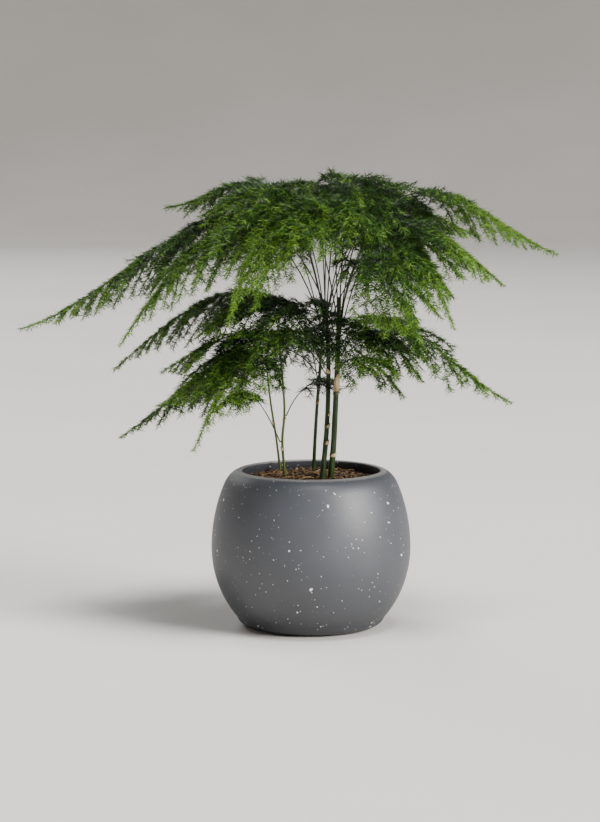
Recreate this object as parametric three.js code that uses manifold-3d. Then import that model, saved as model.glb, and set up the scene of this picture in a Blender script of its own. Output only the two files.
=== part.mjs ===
// Asparagus fern (Asparagus setaceus) growing in a round speckled stoneware pot.
// Millimetres, +Z up. The origin is the centre of the pot's flat foot, and +Y points to the back.
// Bearings are degrees round the pot: 0 is right (+X), 90 back, 180 left and 270 front.

import * as THREE from "three";
import { mergeVertices } from "three/addons/utils/BufferGeometryUtils.js";
import Module from "manifold-3d";

const wasm = await Module();
wasm.setup();

// ---------------------------------------------------------------- driving dimensions

const GAP = 0.3; // between nodes that touch
const ROUND_SIDES = 28; // facets round the pot and its soil
const FINEST_DETAIL = 0.06; // what joining two pieces may leave that is finer than this is merged

const POT = {
  height: 94,
  widest: 60, // radii
  widestAt: 47,
  rim: 48, // where the belly's curve would meet the top
  mouth: 41.6,
  footEdge: 39.6, // where the belly's curve would meet the table
  foot: 34.5, // the flat that it stands on
  footRound: 5,
  footCorner: [0.7, 0.28], // the middle of that rounding, as shares of its width and height
  shoulder: 8, // height of the rounding from the belly over to the lip
  shoulderRise: 0.7, // how far its curve follows the belly, as a share of that height
  shoulderFlat: 0.25, // and how much of its width lies flat at the lip
  lipRound: 1,
  wall: 5,
  floor: 7,
  neck: 24, // how far under the top the inner wall starts to draw in
  innerRings: [84, 72, 58, 38, 20], // heights
};

const SOIL = { level: 89, relief: 0.9, bottom: POT.floor + GAP, shoulder: 1.5, fallToWall: 0.8 };

const MIDRIB = { root: 1, tip: 0.65, steps: 8, sides: 3, crestAt: 0.24, shoulderAt: 0.62 };

const SPRAY = {
  spacing: 13.5, // along a midrib, left and right by turns
  last: 0.96, // share of the midrib where the last one stands
  root: 0.4,
  middle: 0.62,
  droop: 0.5, // sag of the tip, as a share of the length
  wideAngle: 60, // to the midrib, at the frond's foot
  narrowAngle: 28, // and at its tip
  shortest: 5,
  unevenness: 0.28,
  sway: 16, // degrees of tilt, up and down together
};

// A spray that would meet another frond is bent, then shortened, then left out. These are tried in
// turn: degrees of lift, and the share of its length that is kept.
const WAYS_CLEAR = [[0, 1], [14, 1], [-14, 1], [28, 0.9], [-26, 0.9], [8, 0.6], [-8, 0.6], [0, 0.35]];

// A frond widens quickly above its stalk and narrows to a thin tail.
const OUTLINE = { foot: 0.5, widening: 2.4, tail: 0.96, taper: 0.85 };

const NEEDLE = { length: 6, root: 0.36, lean: 48, splay: 4 }; // lean from the spray towards its tip

// Canes: the route of the axis from the soil to the top, and the radii at both ends.
// joints are the heights of the nodes that carry a papery scale leaf.
const ROOTING_DEPTH = 24;
const CANE_SIDES = 6;
const JOINT = { swell: 1.22, top: 1.08, height: 1.3, firstBearing: 20, turn: 137.5 };
const SCALE_LEAF = { seat: 0.4, root: 0.7, out: 1.1, stand: 0.5, rise: 1.8 }; // mostly shares of the radius
const CANES = {
  cane_main: {
    route: [[11.8, -5, SOIL.level], [13.6, -6, 112], [14.9, -6.5, 142], [16, -6.5, 170], [16.6, -6, 198]],
    radii: [1.9, 1.25], joints: [103, 140, 155],
  },
  cane_second: {
    route: [[6.6, -6, SOIL.level], [9.2, -3.4, 116], [10.4, -1, 148], [10, 0.5, 172], [8.8, 1.5, 194]],
    radii: [1.65, 1.1], joints: [110, 120, 152],
  },
  cane_back: {
    route: [[1.8, 31, SOIL.level], [2.6, 29, 108], [4, 26, 132], [6, 23, 158], [8.6, 17.5, 194]],
    radii: [1.15, 0.85], joints: [131],
  },
  thin_cane_front: {
    route: [
      [-15.5, 0, SOIL.level], [-17.2, -2, 111], [-15.9, -4, 129], [-16.9, -6.5, 148], [-19.4, -10, 177],
    ],
    radii: [0.85, 0.6], joints: [106, 124],
  },
  thin_cane_back: {
    route: [[-18.7, 31, SOIL.level], [-21.5, 31, 111], [-24.6, 31, 131], [-27, 30.5, 153]],
    radii: [0.75, 0.55], joints: [118],
  },
  dry_stem: {
    route: [[10.6, 2.6, SOIL.level], [12.4, 2.8, 108], [13.2, 3.4, 127]],
    radii: [0.7, 0.5], joints: [],
  },
};

// Fronds: the cane each springs from, its bearing, how far it reaches, the heights of its midrib's
// four control points (foot, crest, shoulder, tip), half its width, the bare share of its stalk,
// and how far its bearing swings by the tip.
const FRONDS = {
  crown_left_long: ["cane_second", 182, 180, [178, 313, 199, 179], 48, 0.28, 0],
  crown_left_drooping: ["cane_main", 202, 133, [176, 274, 250, 174], 58, 0.28, 0],
  crown_left_upper: ["cane_second", 163, 99, [190, 306, 253, 250], 38, 0.22, 0],
  crown_left_high: ["cane_second", 214, 88, [187, 288, 276, 216], 46, 0.36, 0],
  crown_right_long: ["cane_main", 6, 128, [192, 310, 243, 223], 34, 0.36, 0],
  crown_right: ["cane_main", 352, 95, [181, 280, 236, 206], 40, 0.36, 0],
  crown_right_low: ["cane_back", 14, 77, [172, 232, 240, 196], 40, 0.36, -12],
  crown_right_upper: ["cane_second", 25, 101, [186, 284, 244, 232], 38, 0.26, 0],
  crown_front_left: ["cane_main", 232, 100, [187, 282, 272, 188], 54, 0.28, 0],
  crown_front: ["cane_main", 262, 80, [181, 276, 270, 224], 52, 0.32, 0],
  crown_front_right: ["cane_main", 300, 84, [185, 276, 252, 180], 50, 0.3, 0],
  crown_front_high: ["cane_main", 284, 62, [195, 286, 278, 226], 44, 0.38, 0],
  crown_front_upper: ["cane_second", 258, 58, [194, 284, 280, 232], 44, 0.38, -4],
  crown_comb: ["cane_main", 290, 70, [171, 252, 220, 176], 50, 0.3, 20],
  crown_back: ["cane_back", 88, 66, [191, 268, 274, 246], 44, 0.24, 0],
  crown_back_right: ["cane_back", 46, 92, [181, 272, 282, 226], 44, 0.22, 0],
  crown_back_left: ["cane_back", 138, 96, [177, 266, 256, 196], 46, 0.2, 0],
  crown_back_high: ["cane_second", 74, 76, [192, 276, 280, 256], 40, 0.28, 0],
  crown_front_middle_left: ["cane_second", 240, 81, [182, 268, 252, 196], 46, 0.32, 0],
  crown_front_middle_right: ["cane_main", 322, 80, [190, 268, 246, 184], 48, 0.32, 0],
  crown_middle_back: ["cane_back", 22, 70, [184, 258, 258, 208], 44, 0.2, 0],
  right_trailing: ["cane_main", 334, 107, [170, 215, 157, 141], 32, 0.28, 0],
  middle_left: ["cane_back", 184, 123, [160, 228, 196, 153], 48, 0.24, 0],
  middle_left_high: ["cane_second", 204, 82, [166, 210, 206, 176], 46, 0.26, 0],
  middle_left_front: ["thin_cane_front", 198, 70, [172, 186, 172, 156], 40, 0.18, 0],
  middle_front_left: ["thin_cane_front", 207, 75, [164, 180, 158, 138], 40, 0.2, 0],
  middle_drooping: ["thin_cane_front", 250, 76, [151, 172, 174, 115], 40, 0.24, -20],
  middle_back_left: ["cane_back", 168, 124, [150, 191, 140, 107], 40, 0.3, 0],
  middle_back: ["cane_back", 108, 74, [144, 180, 184, 142], 42, 0.32, 0],
  middle_back_right: ["cane_back", 34, 82, [152, 190, 194, 148], 42, 0.3, 0],
  middle_right: ["cane_main", 340, 50, [163, 192, 176, 150], 36, 0.2, 0],
  middle_front: ["thin_cane_front", 338, 76, [166, 190, 184, 154], 40, 0.23, -6],
  middle_center_left: ["cane_main", 230, 76, [166, 206, 206, 164], 44, 0.24, 0],
  middle_low_left: ["cane_second", 213, 86, [152, 186, 184, 150], 42, 0.26, 0],
  lower_right: ["cane_main", 344, 38, [157, 169, 158, 140], 28, 0.12, 0],
  lower_left: ["thin_cane_front", 144, 42, [111, 130, 152, 130], 30, 0.42, 0],
  lower_middle: ["thin_cane_front", 34, 30, [127, 142, 150, 147], 24, 0.42, -12],
  lower_back_left: ["thin_cane_back", 215, 56, [147, 160, 152, 130], 34, 0.18, 0],
};

const COLOURS = {
  pot: { color: 0x5b6068, roughness: 0.55, metalness: 0 },
  soil: { color: 0x3d2a1c, roughness: 0.95, metalness: 0 },
  cane: { color: 0x33562b, roughness: 0.5, metalness: 0 },
  dry: { color: 0x8a6a4c, roughness: 0.8, metalness: 0 },
  foliage: { color: 0x3c7a2a, roughness: 0.6, metalness: 0 },
};

// ---------------------------------------------------------------- small tools

const UP = new THREE.Vector3(0, 0, 1);
const radians = THREE.MathUtils.degToRad;
const lerp = THREE.MathUtils.lerp;

// A repeatable number from 0 to 1 for a pair of whole numbers.
function chance(a, b) {
  const s = Math.sin(a * 127.1 + b * 311.7) * 43758.5453;
  return s - Math.floor(s);
}

// A closed three.js geometry as a manifold-3d solid.
function solidOf(geometry) {
  const bare = geometry.index ? geometry.toNonIndexed() : geometry.clone();
  bare.deleteAttribute("normal");
  bare.deleteAttribute("uv");
  const merged = mergeVertices(bare, 1e-4);
  return new wasm.Manifold(
    new wasm.Mesh({
      numProp: 3,
      vertProperties: merged.attributes.position.array,
      triVerts: new Uint32Array(merged.index.array),
    }),
  );
}

function geometryOf(solid) {
  const mesh = solid.getMesh();
  return new THREE.BufferGeometry()
    .setAttribute("position", new THREE.BufferAttribute(Float32Array.from(mesh.vertProperties), 3))
    .setIndex(new THREE.BufferAttribute(Uint32Array.from(mesh.triVerts), 1));
}

// A tapered rod bent along points: a cylinder whose rings are carried onto the line and closed at
// both ends. A last radius of nought gives it a point.
function rod(points, radii, sides) {
  const steps = points.length - 1;
  const geometry = new THREE.CylinderGeometry(radii[steps] ? 1 : 0, 1, steps, sides, steps);
  const position = geometry.attributes.position;
  const rings = points.map((point, i) => {
    const ahead = points[Math.min(i + 1, steps)].clone().sub(points[Math.max(i - 1, 0)]).normalize();
    const guide = Math.abs(ahead.z) > 0.95 ? new THREE.Vector3(1, 0, 0) : UP;
    const side = new THREE.Vector3().crossVectors(guide, ahead).normalize();
    return { point, side, over: new THREE.Vector3().crossVectors(ahead, side) };
  });
  for (let v = 0; v < position.count; v++) {
    const i = Math.round(position.getY(v) + steps / 2);
    const spoke = new THREE.Vector2(position.getX(v), position.getZ(v)).normalize().multiplyScalar(radii[i]);
    const { point, side, over } = rings[i];
    const place = point.clone().addScaledVector(over, spoke.x).addScaledVector(side, spoke.y);
    position.setXYZ(v, place.x, place.y, place.z);
  }
  return geometry;
}

// ---------------------------------------------------------------- keeping nodes apart

// The rods laid so far, as straight stretches that each know their radius and their node.
const stretches = [];

function stretchesOf(points, radii, node) {
  return points.slice(1).map((end, i) => ({
    start: points[i], end, radius: Math.max(radii[i], radii[i + 1]), node,
  }));
}

// The shortest distance between the segments p and q.
function distance(p, q) {
  const d1 = p.end.clone().sub(p.start);
  const d2 = q.end.clone().sub(q.start);
  const r = p.start.clone().sub(q.start);
  const [a, e, f, b, c] = [d1.dot(d1), d2.dot(d2), d2.dot(r), d1.dot(d2), d1.dot(r)];
  const parallel = a * e - b * b;
  const clamp = (x) => Math.min(1, Math.max(0, x));
  let s = parallel > 1e-9 ? clamp((b * f - c * e) / parallel) : 0;
  let t = (b * s + f) / e;
  if (t < 0 || t > 1) {
    t = clamp(t);
    s = clamp((b * t - c) / a);
  }
  return p.start.clone().addScaledVector(d1, s).distanceTo(q.start.clone().addScaledVector(d2, t));
}

// Whether any of these stretches comes nearer to another node than the gap.
function clashes(own) {
  return own.some((p) =>
    stretches.some((q) => q.node !== p.node && distance(p, q) < p.radius + q.radius + GAP));
}

// ---------------------------------------------------------------- pot and soil

// The belly is half an ellipse below its widest ring and another above it.
function bellyRadius(z) {
  const below = z < POT.widestAt;
  const edge = below ? POT.footEdge : POT.rim;
  const run = below ? POT.widestAt : POT.height - POT.widestAt;
  const axis = run / Math.sqrt(1 - (edge / POT.widest) ** 2);
  return POT.widest * Math.sqrt(1 - ((z - POT.widestAt) / axis) ** 2);
}

// The inner wall keeps the wall's thickness, and draws in slowly to the mouth.
function innerRadius(z) {
  const draw = Math.max(0, (z - (POT.height - POT.neck)) / POT.neck);
  return lerp(bellyRadius(z) - POT.wall, POT.mouth, draw * draw);
}

// The rounding from the belly over to the lip, leaving the belly at its own lean.
function shoulderLine() {
  const foot = POT.height - POT.shoulder;
  const edge = bellyRadius(foot);
  const lean = bellyRadius(foot + 0.5) - bellyRadius(foot - 0.5);
  const crest = POT.mouth + POT.lipRound;
  const rise = POT.shoulderRise * POT.shoulder;
  return new THREE.CubicBezierCurve(
    new THREE.Vector2(edge, foot),
    new THREE.Vector2(edge + lean * rise, foot + rise),
    new THREE.Vector2(lerp(crest, edge, POT.shoulderFlat), POT.height),
    new THREE.Vector2(crest, POT.height),
  );
}

function pot() {
  const profile = [new THREE.Vector2(0, 0), new THREE.Vector2(POT.foot, 0)];
  const footBulge = bellyRadius(POT.footRound) - POT.foot;
  const [out, up] = POT.footCorner;
  profile.push(new THREE.Vector2(POT.foot + footBulge * out, POT.footRound * up));
  const outerRings = 7;
  for (let i = 0; i < outerRings; i++) {
    const z = lerp(POT.footRound, POT.height - POT.shoulder, i / outerRings);
    profile.push(new THREE.Vector2(bellyRadius(z), z));
  }
  profile.push(...shoulderLine().getPoints(4));
  const lipFoot = POT.height - POT.lipRound;
  for (const z of [lipFoot, ...POT.innerRings, POT.floor]) profile.push(new THREE.Vector2(innerRadius(z), z));
  profile.push(new THREE.Vector2(0, POT.floor));
  return solidOf(new THREE.LatheGeometry(profile, ROUND_SIDES).rotateX(Math.PI / 2));
}

// Low mounds and hollows in the soil's top.
function soilHeight(x, y) {
  const broad = Math.sin(x * 0.21 + 0.8) * Math.cos(y * 0.17 - 0.4);
  const fine = Math.sin(x * 0.63 - y * 0.29) * Math.cos(y * 0.55 + x * 0.18);
  const nearWall = Math.hypot(x, y) / POT.mouth;
  return SOIL.level + SOIL.relief * (0.6 * broad + 0.5 * fine) - SOIL.fallToWall * nearWall ** 2;
}

function soil() {
  const profile = [new THREE.Vector2(0, SOIL.bottom)];
  const rings = [SOIL.bottom, ...POT.innerRings.slice(1).reverse()];
  for (const z of rings) profile.push(new THREE.Vector2(innerRadius(z) - GAP * 1.3, z));
  const edge = innerRadius(SOIL.level - 1) - 0.8;
  profile.push(new THREE.Vector2(edge, SOIL.level - SOIL.shoulder));
  const topRings = 3;
  for (let i = 1; i <= topRings; i++) profile.push(new THREE.Vector2(edge * (1 - i / topRings), SOIL.level));
  const geometry = new THREE.LatheGeometry(profile, ROUND_SIDES).rotateX(Math.PI / 2);
  const position = geometry.attributes.position;
  for (let v = 0; v < position.count; v++) {
    if (position.getZ(v) > SOIL.level - 2) {
      const [x, y] = [position.getX(v), position.getY(v)];
      position.setZ(v, soilHeight(x, y) + (position.getZ(v) - SOIL.level));
    }
  }
  const holes = Object.values(CANES).map((cane) => {
    const foot = new THREE.Vector3(...cane.route[0]);
    const radius = cane.radii[0] + GAP * 1.4;
    const points = [SOIL.level - ROOTING_DEPTH - GAP, SOIL.level + 6].map((z) => foot.clone().setZ(z));
    return solidOf(rod(points, [radius, radius], CANE_SIDES));
  });
  return holes.reduce((body, hole) => body.subtract(hole), solidOf(geometry));
}

// ---------------------------------------------------------------- canes

function caneLine(cane) {
  return new THREE.CatmullRomCurve3(cane.route.map((p) => new THREE.Vector3(...p)), false, "centripetal");
}

// The axis point and radius of a cane at a height.
function caneAt(cane, height) {
  const line = caneLine(cane);
  let [low, high] = [0, 1];
  for (let i = 0; i < 24; i++) {
    const middle = (low + high) / 2;
    if (line.getPoint(middle).z < height) low = middle;
    else high = middle;
  }
  return { point: line.getPoint(low), radius: lerp(cane.radii[0], cane.radii[1], low) };
}

function cane(name) {
  const shape = CANES[name];
  const line = caneLine(shape);
  const steps = 5;
  const root = new THREE.Vector3(...shape.route[0]).setZ(SOIL.level - ROOTING_DEPTH);
  const points = [root, ...line.getPoints(steps)];
  const radii = points.map((_, i) => lerp(shape.radii[0], shape.radii[1], Math.max(0, i - 1) / steps));
  const pieces = [solidOf(rod(points, radii, CANE_SIDES))];
  shape.joints.forEach((height, i) => {
    // A joint is a low ring, with one papery scale leaf pointing up and out.
    const { point, radius } = caneAt(shape, height);
    const top = point.clone().addScaledVector(UP, JOINT.height);
    pieces.push(solidOf(rod([point, top], [radius * JOINT.swell, radius * JOINT.top], CANE_SIDES)));
    const bearing = radians(i * JOINT.turn + JOINT.firstBearing);
    const out = new THREE.Vector3(Math.cos(bearing), Math.sin(bearing), 0);
    const base = point.clone().addScaledVector(out, radius * SCALE_LEAF.seat);
    const tip = base.clone()
      .addScaledVector(out, radius * SCALE_LEAF.out + SCALE_LEAF.stand)
      .addScaledVector(UP, radius * SCALE_LEAF.rise);
    pieces.push(solidOf(rod([base, tip], [radius * SCALE_LEAF.root, 0], 3)));
  });
  stretches.push(...stretchesOf(points, radii.map((r) => r * 1.1), name));
  return pieces.reduce((body, piece) => body.add(piece));
}

// ---------------------------------------------------------------- fronds

// A midrib follows a Bezier curve in an upright plane that may swing round with the frond.
function midrib(name) {
  const [caneName, bearing, reach, heights, , , swing] = FRONDS[name];
  const foot = caneAt(CANES[caneName], heights[0]);
  const start = foot.radius + GAP + MIDRIB.root * 0.7; // a flat of the stalk's foot faces the cane
  const outs = [0, MIDRIB.crestAt, MIDRIB.shoulderAt, 1].map((share) => start + share * reach);
  const curve = new THREE.CubicBezierCurve(...outs.map((out, i) => new THREE.Vector2(out, heights[i])));
  const points = curve.getPoints(MIDRIB.steps).map((flat, i) => {
    const turn = radians(bearing + (swing * i) / MIDRIB.steps);
    const away = new THREE.Vector3(Math.cos(turn), Math.sin(turn), 0).multiplyScalar(flat.x);
    return away.add(foot.point).setZ(flat.y);
  });
  const radii = points.map((_, i) => lerp(MIDRIB.root, MIDRIB.tip, i / MIDRIB.steps));
  return { points, radii, stretches: stretchesOf(points, radii, name) };
}

// The place at share t of a midrib, with the directions along it, level across it and over it.
function placeOn(points, t) {
  const step = Math.min(points.length - 2, Math.floor(t * (points.length - 1)));
  const along = points[step + 1].clone().sub(points[step]);
  const place = points[step].clone().addScaledVector(along, t * (points.length - 1) - step);
  const across = new THREE.Vector3().crossVectors(along.normalize(), UP).normalize();
  return { place, along, across, over: new THREE.Vector3().crossVectors(across, along) };
}

// Half a frond's width at share u of its leafy part, as a share of the widest.
function outline(u) {
  const widening = Math.min(1, OUTLINE.foot + OUTLINE.widening * u);
  return widening * Math.max(0, 1 - u / OUTLINE.tail) ** OUTLINE.taper;
}

// The line of one side spray, which leaves the midrib forwards and sags under its own weight.
function sprayLine(points, halfWidth, t, u, side, number, lift, share) {
  const { place, along, across, over } = placeOn(points, t);
  const angle = radians(lerp(SPRAY.wideAngle, SPRAY.narrowAngle, u));
  const uneven = 1 + SPRAY.unevenness * (chance(number, 3) - 0.5);
  const length = Math.max(SPRAY.shortest, halfWidth * outline(u) * uneven) * share;
  const tilt = radians(lift + SPRAY.sway * (chance(number, 7) - 0.5));
  const way = along.multiplyScalar(Math.cos(angle))
    .addScaledVector(across, side * Math.sin(angle) * Math.cos(tilt))
    .addScaledVector(over, Math.sin(angle) * Math.sin(tilt));
  const line = [0, 0.5, 1].map((s) =>
    place.clone().addScaledVector(way, s * length).addScaledVector(UP, -SPRAY.droop * length * s * s),
  );
  return { line, over };
}

// A pair of needles, one to each side of the spray: a three-sided spindle bent forwards to a V.
function needlePair(centre, ahead, over, tips) {
  const geometry = new THREE.SphereGeometry(1, 3, 2);
  const position = geometry.attributes.position;
  for (let v = 0; v < position.count; v++) {
    const y = Math.round(position.getY(v));
    const place = y ? tips[y > 0 ? 0 : 1].clone() : centre.clone()
      .addScaledVector(ahead, position.getX(v) * NEEDLE.root)
      .addScaledVector(over, position.getZ(v) * NEEDLE.root);
    position.setXYZ(v, place.x, place.y, place.z);
  }
  return geometry;
}

// The tips of the needles that a spray carries half way along.
function needleTips(line, over, number) {
  const ahead = line[2].clone().sub(line[0]).normalize();
  const side = new THREE.Vector3().crossVectors(over, ahead).normalize();
  const lean = radians(NEEDLE.lean);
  const tips = [1, -1].map((hand) =>
    line[1].clone()
      .addScaledVector(ahead, NEEDLE.length * Math.cos(lean))
      .addScaledVector(side, hand * NEEDLE.length * Math.sin(lean))
      .addScaledVector(over, NEEDLE.splay * (chance(number, 11 + hand) - 0.5)),
  );
  return { ahead, tips };
}

// One spray with its needles, laid clear of the other fronds, or nothing if there is no room.
function spray(name, t, u, side, number) {
  const thickness = [SPRAY.root, SPRAY.middle, 0];
  for (const [lift, share] of WAYS_CLEAR) {
    const { line, over } = sprayLine(midribs[name].points, FRONDS[name][4], t, u, side, number, lift, share);
    const laid = stretchesOf(line, thickness, name);
    if (clashes(laid)) continue;
    stretches.push(...laid);
    const pieces = [solidOf(rod(line, thickness, 3))];
    const { ahead, tips } = needleTips(line, over, number);
    const pair = stretchesOf([tips[0], line[1], tips[1]], [0, NEEDLE.root, 0], name);
    if (!clashes(pair)) {
      stretches.push(...pair);
      pieces.push(solidOf(needlePair(line[1], ahead, over, tips)));
    }
    return pieces;
  }
  return [];
}

function frond(name, index) {
  const bare = FRONDS[name][5];
  const { points, radii } = midribs[name];
  const pieces = [solidOf(rod(points, radii, MIDRIB.sides))];
  const length = points.slice(1).reduce((sum, point, i) => sum + point.distanceTo(points[i]), 0);
  const sprays = Math.round((length * (1 - bare)) / SPRAY.spacing) + 2;
  const mostSprays = 40;
  for (let i = 0; i < sprays; i++) {
    const u = (i + 0.3) / sprays;
    pieces.push(...spray(name, lerp(bare, SPRAY.last, u), u, i % 2 ? 1 : -1, index * mostSprays + i));
  }
  return pieces.reduce((body, piece) => body.add(piece));
}

// ---------------------------------------------------------------- the plant in its pot

const plant = new THREE.Group();

function add(name, solid, finish) {
  const tidied = solid.asOriginal().simplify(FINEST_DETAIL);
  const mesh = new THREE.Mesh(geometryOf(tidied), new THREE.MeshStandardMaterial(COLOURS[finish]));
  mesh.name = name;
  plant.add(mesh);
}

add("pot", pot(), "pot");
add("soil", soil(), "soil");
for (const name of Object.keys(CANES)) add(name, cane(name), name === "dry_stem" ? "dry" : "cane");

// Every midrib is laid before the first spray, so that the sprays keep clear of them all.
const midribs = Object.fromEntries(Object.keys(FRONDS).map((name) => [name, midrib(name)]));
for (const name of Object.keys(FRONDS)) {
  stretches.push(...midribs[name].stretches);
}
Object.keys(FRONDS).forEach((name, index) => add(`${name}_frond`, frond(name, index), "foliage"));

export default plant;
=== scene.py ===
"""An asparagus fern in a round speckled stoneware pot.

Sizes are in millimetres until they reach Blender, where mm() turns them into metres. The pot stands
on its foot at the origin, +Y points to the back, and bearings are degrees round the pot from the
right (+X).
"""
import math

import bpy
import numpy as np
from mathutils import Matrix, Vector, noise


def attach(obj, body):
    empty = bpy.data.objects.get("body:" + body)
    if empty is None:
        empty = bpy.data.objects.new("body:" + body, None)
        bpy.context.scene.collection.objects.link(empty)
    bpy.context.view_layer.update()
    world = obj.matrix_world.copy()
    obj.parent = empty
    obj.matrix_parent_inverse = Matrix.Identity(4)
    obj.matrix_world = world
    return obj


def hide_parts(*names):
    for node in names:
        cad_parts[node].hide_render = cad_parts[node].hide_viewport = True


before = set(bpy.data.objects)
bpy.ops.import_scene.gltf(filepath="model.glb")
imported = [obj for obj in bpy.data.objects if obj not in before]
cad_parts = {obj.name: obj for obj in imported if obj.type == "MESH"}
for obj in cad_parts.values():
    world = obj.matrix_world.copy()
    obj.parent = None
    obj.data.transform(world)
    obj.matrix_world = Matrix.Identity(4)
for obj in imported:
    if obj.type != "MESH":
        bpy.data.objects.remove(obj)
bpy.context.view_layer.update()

MM = 0.001
UP = Vector((0, 0, 1))

# ---------------------------------------------------------------- sizes shared with the solids

POT_HEIGHT = 94
POT_WIDEST, POT_WIDEST_AT = 60, 47
POT_RIM, POT_MOUTH = 48, 41.6
POT_FOOT_EDGE, POT_FOOT, POT_FOOT_ROUND = 39.6, 34.5, 5
POT_SHOULDER, POT_LIP_ROUND = 8, 1
POT_WALL, POT_FLOOR, POT_NECK = 5, 7, 24

SOIL_LEVEL = 89
ROOTING_DEPTH = 24
GAP = 0.3

# Canes: the route of the axis above the soil, the radii at both ends and the heights of the joints.
CANES = {
    "cane_main": (((11.8, -5, 89), (13.6, -6, 112), (14.9, -6.5, 142), (16, -6.5, 170), (16.6, -6, 198)),
                  (1.9, 1.25), (103, 140, 155)),
    "cane_second": (((6.6, -6, 89), (9.2, -3.4, 116), (10.4, -1, 148), (10, 0.5, 172), (8.8, 1.5, 194)),
                    (1.65, 1.1), (110, 120, 152)),
    "cane_back": (((1.8, 31, 89), (2.6, 29, 108), (4, 26, 132), (6, 23, 158), (8.6, 17.5, 194)),
                  (1.15, 0.85), (131,)),
    "thin_cane_front": (((-15.5, 0, 89), (-17.2, -2, 111), (-15.9, -4, 129), (-16.9, -6.5, 148),
                         (-19.4, -10, 177)), (0.85, 0.6), (106, 124)),
    "thin_cane_back": (((-18.7, 31, 89), (-21.5, 31, 111), (-24.6, 31, 131), (-27, 30.5, 153)),
                       (0.75, 0.55), (118,)),
    "dry_stem": (((10.6, 2.6, 89), (12.4, 2.8, 108), (13.2, 3.4, 127)), (0.7, 0.5), ()),
}

# Fronds: the cane each springs from, its bearing, how far it reaches, the heights of its midrib's
# four control points (foot, crest, shoulder, tip), half its width, the bare share of its stalk, how
# far its bearing swings by the tip, and its tone of age and painted shade, from 0 for fresh
# yellow-green to 1 for old and dark; the fronds low in the plant and inside the crown have high
# values partly as painted shade.
FRONDS = {
    "crown_left_long": ("cane_second", 182, 180, (178, 313, 199, 179), 48, 0.28, 0, 0.6),
    "crown_left_drooping": ("cane_main", 202, 133, (176, 274, 250, 174), 58, 0.28, 0, 0.55),
    "crown_left_upper": ("cane_second", 163, 99, (190, 306, 253, 250), 38, 0.22, 0, 0.7),
    "crown_left_high": ("cane_second", 214, 88, (187, 288, 276, 216), 46, 0.36, 0, 0.5),
    "crown_right_long": ("cane_main", 6, 128, (192, 310, 243, 223), 34, 0.36, 0, 0.3),
    "crown_right": ("cane_main", 352, 95, (181, 280, 236, 206), 40, 0.36, 0, 0.4),
    "crown_right_low": ("cane_back", 14, 77, (172, 232, 240, 196), 40, 0.36, -12, 0.75),
    "crown_right_upper": ("cane_second", 25, 101, (186, 284, 244, 232), 38, 0.26, 0, 0.6),
    "crown_front_left": ("cane_main", 232, 100, (187, 282, 272, 188), 54, 0.28, 0, 0.45),
    "crown_front": ("cane_main", 262, 80, (181, 276, 270, 224), 52, 0.32, 0, 0.6),
    "crown_front_right": ("cane_main", 300, 84, (185, 276, 252, 180), 50, 0.3, 0, 0.8),
    "crown_front_high": ("cane_main", 284, 62, (195, 286, 278, 226), 44, 0.38, 0, 0.6),
    "crown_front_upper": ("cane_second", 258, 58, (194, 284, 280, 232), 44, 0.38, -4, 0.55),
    "crown_comb": ("cane_main", 290, 70, (171, 252, 220, 176), 50, 0.3, 20, 0.35),
    "crown_back": ("cane_back", 88, 66, (191, 268, 274, 246), 44, 0.24, 0, 0.6),
    "crown_back_right": ("cane_back", 46, 92, (181, 272, 282, 226), 44, 0.22, 0, 0.6),
    "crown_back_left": ("cane_back", 138, 96, (177, 266, 256, 196), 46, 0.2, 0, 0.8),
    "crown_back_high": ("cane_second", 74, 76, (192, 276, 280, 256), 40, 0.28, 0, 0.6),
    "crown_front_middle_left": ("cane_second", 240, 81, (182, 268, 252, 196), 46, 0.32, 0, 0.45),
    "crown_front_middle_right": ("cane_main", 322, 80, (190, 268, 246, 184), 48, 0.32, 0, 0.5),
    "crown_middle_back": ("cane_back", 22, 70, (184, 258, 258, 208), 44, 0.2, 0, 0.75),
    "right_trailing": ("cane_main", 334, 107, (170, 215, 157, 141), 32, 0.28, 0, 0.6),
    "middle_left": ("cane_back", 184, 123, (160, 228, 196, 153), 48, 0.24, 0, 0.6),
    "middle_left_high": ("cane_second", 204, 82, (166, 210, 206, 176), 46, 0.26, 0, 0.68),
    "middle_left_front": ("thin_cane_front", 198, 70, (172, 186, 172, 156), 40, 0.18, 0, 0.6),
    "middle_front_left": ("thin_cane_front", 207, 75, (164, 180, 158, 138), 40, 0.2, 0, 0.5),
    "middle_drooping": ("thin_cane_front", 250, 76, (151, 172, 174, 115), 40, 0.24, -20, 0.35),
    "middle_back_left": ("cane_back", 168, 124, (150, 191, 140, 107), 40, 0.3, 0, 0.75),
    "middle_back": ("cane_back", 108, 74, (144, 180, 184, 142), 42, 0.32, 0, 0.8),
    "middle_back_right": ("cane_back", 34, 82, (152, 190, 194, 148), 42, 0.3, 0, 0.55),
    "middle_right": ("cane_main", 340, 50, (163, 192, 176, 150), 36, 0.2, 0, 0.7),
    "middle_front": ("thin_cane_front", 338, 76, (166, 190, 184, 154), 40, 0.23, -6, 0.6),
    "middle_center_left": ("cane_main", 230, 76, (166, 206, 206, 164), 44, 0.24, 0, 0.8),
    "middle_low_left": ("cane_second", 213, 86, (152, 186, 184, 150), 42, 0.26, 0, 0.75),
    "lower_right": ("cane_main", 344, 38, (157, 169, 158, 140), 28, 0.12, 0, 0.65),
    "lower_left": ("thin_cane_front", 144, 42, (111, 130, 152, 130), 30, 0.42, 0, 0.9),
    "lower_middle": ("thin_cane_front", 34, 30, (127, 142, 150, 147), 24, 0.42, -12, 0.9),
    "lower_back_left": ("thin_cane_back", 215, 56, (147, 160, 152, 130), 34, 0.18, 0, 0.9),
}
CREST_AT, SHOULDER_AT = 0.24, 0.62
MIDRIB_START = 0.7  # how far beyond the gap the middle of the stalk starts
SPRAY_DROOP = 0.5
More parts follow.
